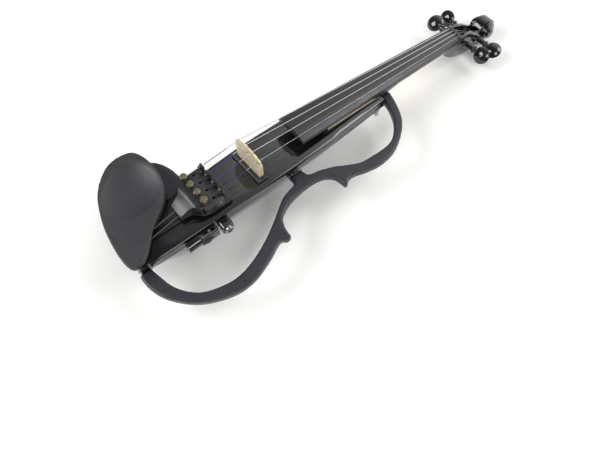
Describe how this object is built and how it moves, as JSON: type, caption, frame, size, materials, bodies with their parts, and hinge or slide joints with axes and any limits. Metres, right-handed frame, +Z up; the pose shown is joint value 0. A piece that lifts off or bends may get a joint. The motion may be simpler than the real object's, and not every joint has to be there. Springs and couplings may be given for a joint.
{
  "type": "electric violin",
  "caption": "Electric violin with a slim hollow body, a half-outline side frame, a chin rest and a solid neck; strings are tuned by pegs and screw tuners.",
  "frame": {"origin": "on the flat resting face under the bridge, on the centre plane of the body", "axes": "+X from the tail to the scroll, +Y towards the bass side, +Z up through the deck to the strings"},
  "size_m": [0.5805, 0.2003, 0.1026],
  "materials": {
    "gloss_black": "high gloss lacquer",
    "peg_black": "polished black wood",
    "neck_wood": "satin maple, the head and heel lacquered black",
    "board_black": "satin black wood",
    "satin_black": "satin",
    "tailpiece_black": "satin",
    "bridge_wood": "raw maple with dark flecks",
    "string_steel": "bright wound steel",
    "sleeve_green": "satin",
    "gut_black": "satin nylon",
    "tuner_nickel": "worn nickel over brass",
    "washer_steel": "plain",
    "lever_steel": "black",
    "screw_steel": "plain",
    "cork": "cork",
    "piezo_brass": "plain",
    "plate_metal": "brushed",
    "wheel_black": "knurled",
    "switch_white": "plain",
    "jack_chrome": "polished",
    "circuit_green": "board lacquer",
    "cell_blue": "plain sleeve",
    "contact_steel": "plain"
  },
  "bodies": {
    "violin": {"top_shell": "gloss_black", "lower_shell": "gloss_black", "tail_block": "gloss_black", "neck": "neck_wood", "neck_bolts": "screw_steel", "fingerboard": "board_black", "nut": "board_black", "saddle": "board_black", "end_pin": "peg_black", "tail_gut": "gut_black", "bridge": "bridge_wood", "pickup_base": "tailpiece_black", "piezo_strip": "piezo_brass", "tailpiece": "tailpiece_black", "tuner_bushings": "tuner_nickel", "tuner_axle": "washer_steel", "string_g": "string_steel", "string_d": "string_steel", "string_a": "string_steel", "string_e": "string_steel", "string_sleeve": "sleeve_green", "chin_rest": "satin_black", "chin_rest_pads": "cork", "chin_rest_screws": "screw_steel", "bass_wing": "satin_black", "wing_screws": "screw_steel", "side_frame": "satin_black", "frame_screws": "screw_steel", "frame_nut": "screw_steel", "control_housing": "gloss_black", "control_plate": "plate_metal", "jack_block": "gloss_black", "jack_nut": "jack_chrome", "circuit_board": "circuit_green", "battery_cells": "cell_blue", "battery_contacts": "contact_steel", "door_pin": "screw_steel"},
    "peg_g": {"peg_g": "peg_black", "winding_g": "string_steel"},
    "tuner_washer_g": {"tuner_washer_g": "washer_steel"},
    "tuner_screw_g": {"tuner_screw_g": "tuner_nickel"},
    "tuner_lever_g": {"tuner_lever_g": "lever_steel"},
    "peg_d": {"peg_d": "peg_black", "winding_d": "string_steel"},
    "tuner_washer_d": {"tuner_washer_d": "washer_steel"},
    "tuner_screw_d": {"tuner_screw_d": "tuner_nickel"},
    "tuner_lever_d": {"tuner_lever_d": "lever_steel"},
    "peg_a": {"peg_a": "peg_black", "winding_a": "string_steel"},
    "tuner_washer_a": {"tuner_washer_a": "washer_steel"},
    "tuner_screw_a": {"tuner_screw_a": "tuner_nickel"},
    "tuner_lever_a": {"tuner_lever_a": "lever_steel"},
    "peg_e": {"peg_e": "peg_black", "winding_e": "string_steel"},
    "tuner_washer_e": {"tuner_washer_e": "washer_steel"},
    "tuner_screw_e": {"tuner_screw_e": "tuner_nickel"},
    "tuner_lever_e": {"tuner_lever_e": "lever_steel"},
    "volume_wheel": {"volume_wheel": "wheel_black"},
    "power_switch": {"power_switch": "switch_white"},
    "battery_door": {"battery_door": "gloss_black"}
  },
  "joints": [
    {"name": "peg_g_turn", "type": "hinge", "parent": "violin", "child": "peg_g", "pos_m": [0.342, 0, 0.027], "axis": [0, 1, 0], "continuous": true},
    {"name": "peg_d_turn", "type": "hinge", "parent": "violin", "child": "peg_d", "pos_m": [0.367, 0, 0.019], "axis": [0, 1, 0], "continuous": true},
    {"name": "peg_a_turn", "type": "hinge", "parent": "violin", "child": "peg_a", "pos_m": [0.374, 0, 0.01676], "axis": [0, 1, 0], "continuous": true},
    {"name": "peg_e_turn", "type": "hinge", "parent": "violin", "child": "peg_e", "pos_m": [0.349, 0, 0.02476], "axis": [0, 1, 0], "continuous": true},
    {"name": "tuner_g_travel", "type": "slide", "parent": "violin", "child": "tuner_washer_g", "axis": [0, 0, 1], "range_m": [-0.0015, 0.001]},
    {"name": "tuner_g_turn", "type": "hinge", "parent": "tuner_washer_g", "child": "tuner_screw_g", "pos_m": [-0.072, 0.0177, 0.09], "axis": [0, 0, 1], "range_deg": [-1081, 721]},
    {"name": "tuner_g_lever", "type": "hinge", "parent": "violin", "child": "tuner_lever_g", "pos_m": [-0.056, 0.0177, 0.082], "axis": [0, 1, 0], "range_deg": [-5.4, 3.6]},
    {"name": "tuner_d_travel", "type": "slide", "parent": "violin", "child": "tuner_washer_d", "axis": [0, 0, 1], "range_m": [-0.0015, 0.001]},
    {"name": "tuner_d_turn", "type": "hinge", "parent": "tuner_washer_d", "child": "tuner_screw_d", "pos_m": [-0.072, 0.0059, 0.09], "axis": [0, 0, 1], "range_deg": [-1081, 721]},
    {"name": "tuner_d_lever", "type": "hinge", "parent": "violin", "child": "tuner_lever_d", "pos_m": [-0.056, 0.0059, 0.082], "axis": [0, 1, 0], "range_deg": [-5.4, 3.6]},
    {"name": "tuner_a_travel", "type": "slide", "parent": "violin", "child": "tuner_washer_a", "axis": [0, 0, 1], "range_m": [-0.0015, 0.001]},
    {"name": "tuner_a_turn", "type": "hinge", "parent": "tuner_washer_a", "child": "tuner_screw_a", "pos_m": [-0.072, -0.0059, 0.09], "axis": [0, 0, 1], "range_deg": [-1081, 721]},
    {"name": "tuner_a_lever", "type": "hinge", "parent": "violin", "child": "tuner_lever_a", "pos_m": [-0.056, -0.0059, 0.082], "axis": [0, 1, 0], "range_deg": [-5.4, 3.6]},
    {"name": "tuner_e_travel", "type": "slide", "parent": "violin", "child": "tuner_washer_e", "axis": [0, 0, 1], "range_m": [-0.0015, 0.001]},
    {"name": "tuner_e_turn", "type": "hinge", "parent": "tuner_washer_e", "child": "tuner_screw_e", "pos_m": [-0.072, -0.0177, 0.09], "axis": [0, 0, 1], "range_deg": [-1081, 721]},
    {"name": "tuner_e_lever", "type": "hinge", "parent": "violin", "child": "tuner_lever_e", "pos_m": [-0.056, -0.0177, 0.082], "axis": [0, 1, 0], "range_deg": [-5.4, 3.6]},
    {"name": "volume_turn", "type": "hinge", "parent": "violin", "child": "volume_wheel", "pos_m": [-0.087, -0.0318, 0.05446], "axis": [0, 0, 1], "range_deg": [-135, 135]},
    {"name": "power_slide", "type": "slide", "parent": "violin", "child": "power_switch", "axis": [1, 0, 0], "range_m": [0, 0.003]},
    {"name": "battery_door_swing", "type": "hinge", "parent": "violin", "child": "battery_door", "pos_m": [-0.012, 0.01633, 0.0137], "axis": [-1, 0, 0], "range_deg": [0, 75]}
  ],
  "couplings": [
    {"joint": "tuner_g_turn", "follows": "tuner_g_travel", "rad_per_m": 12566},
    {"joint": "tuner_g_lever", "follows": "tuner_g_travel", "rad_per_m": 62.5},
    {"joint": "tuner_d_turn", "follows": "tuner_d_travel", "rad_per_m": 12566},
    {"joint": "tuner_d_lever", "follows": "tuner_d_travel", "rad_per_m": 62.5},
    {"joint": "tuner_a_turn", "follows": "tuner_a_travel", "rad_per_m": 12566},
    {"joint": "tuner_a_lever", "follows": "tuner_a_travel", "rad_per_m": 62.5},
    {"joint": "tuner_e_turn", "follows": "tuner_e_travel", "rad_per_m": 12566},
    {"joint": "tuner_e_lever", "follows": "tuner_e_travel", "rad_per_m": 62.5}
  ]
}
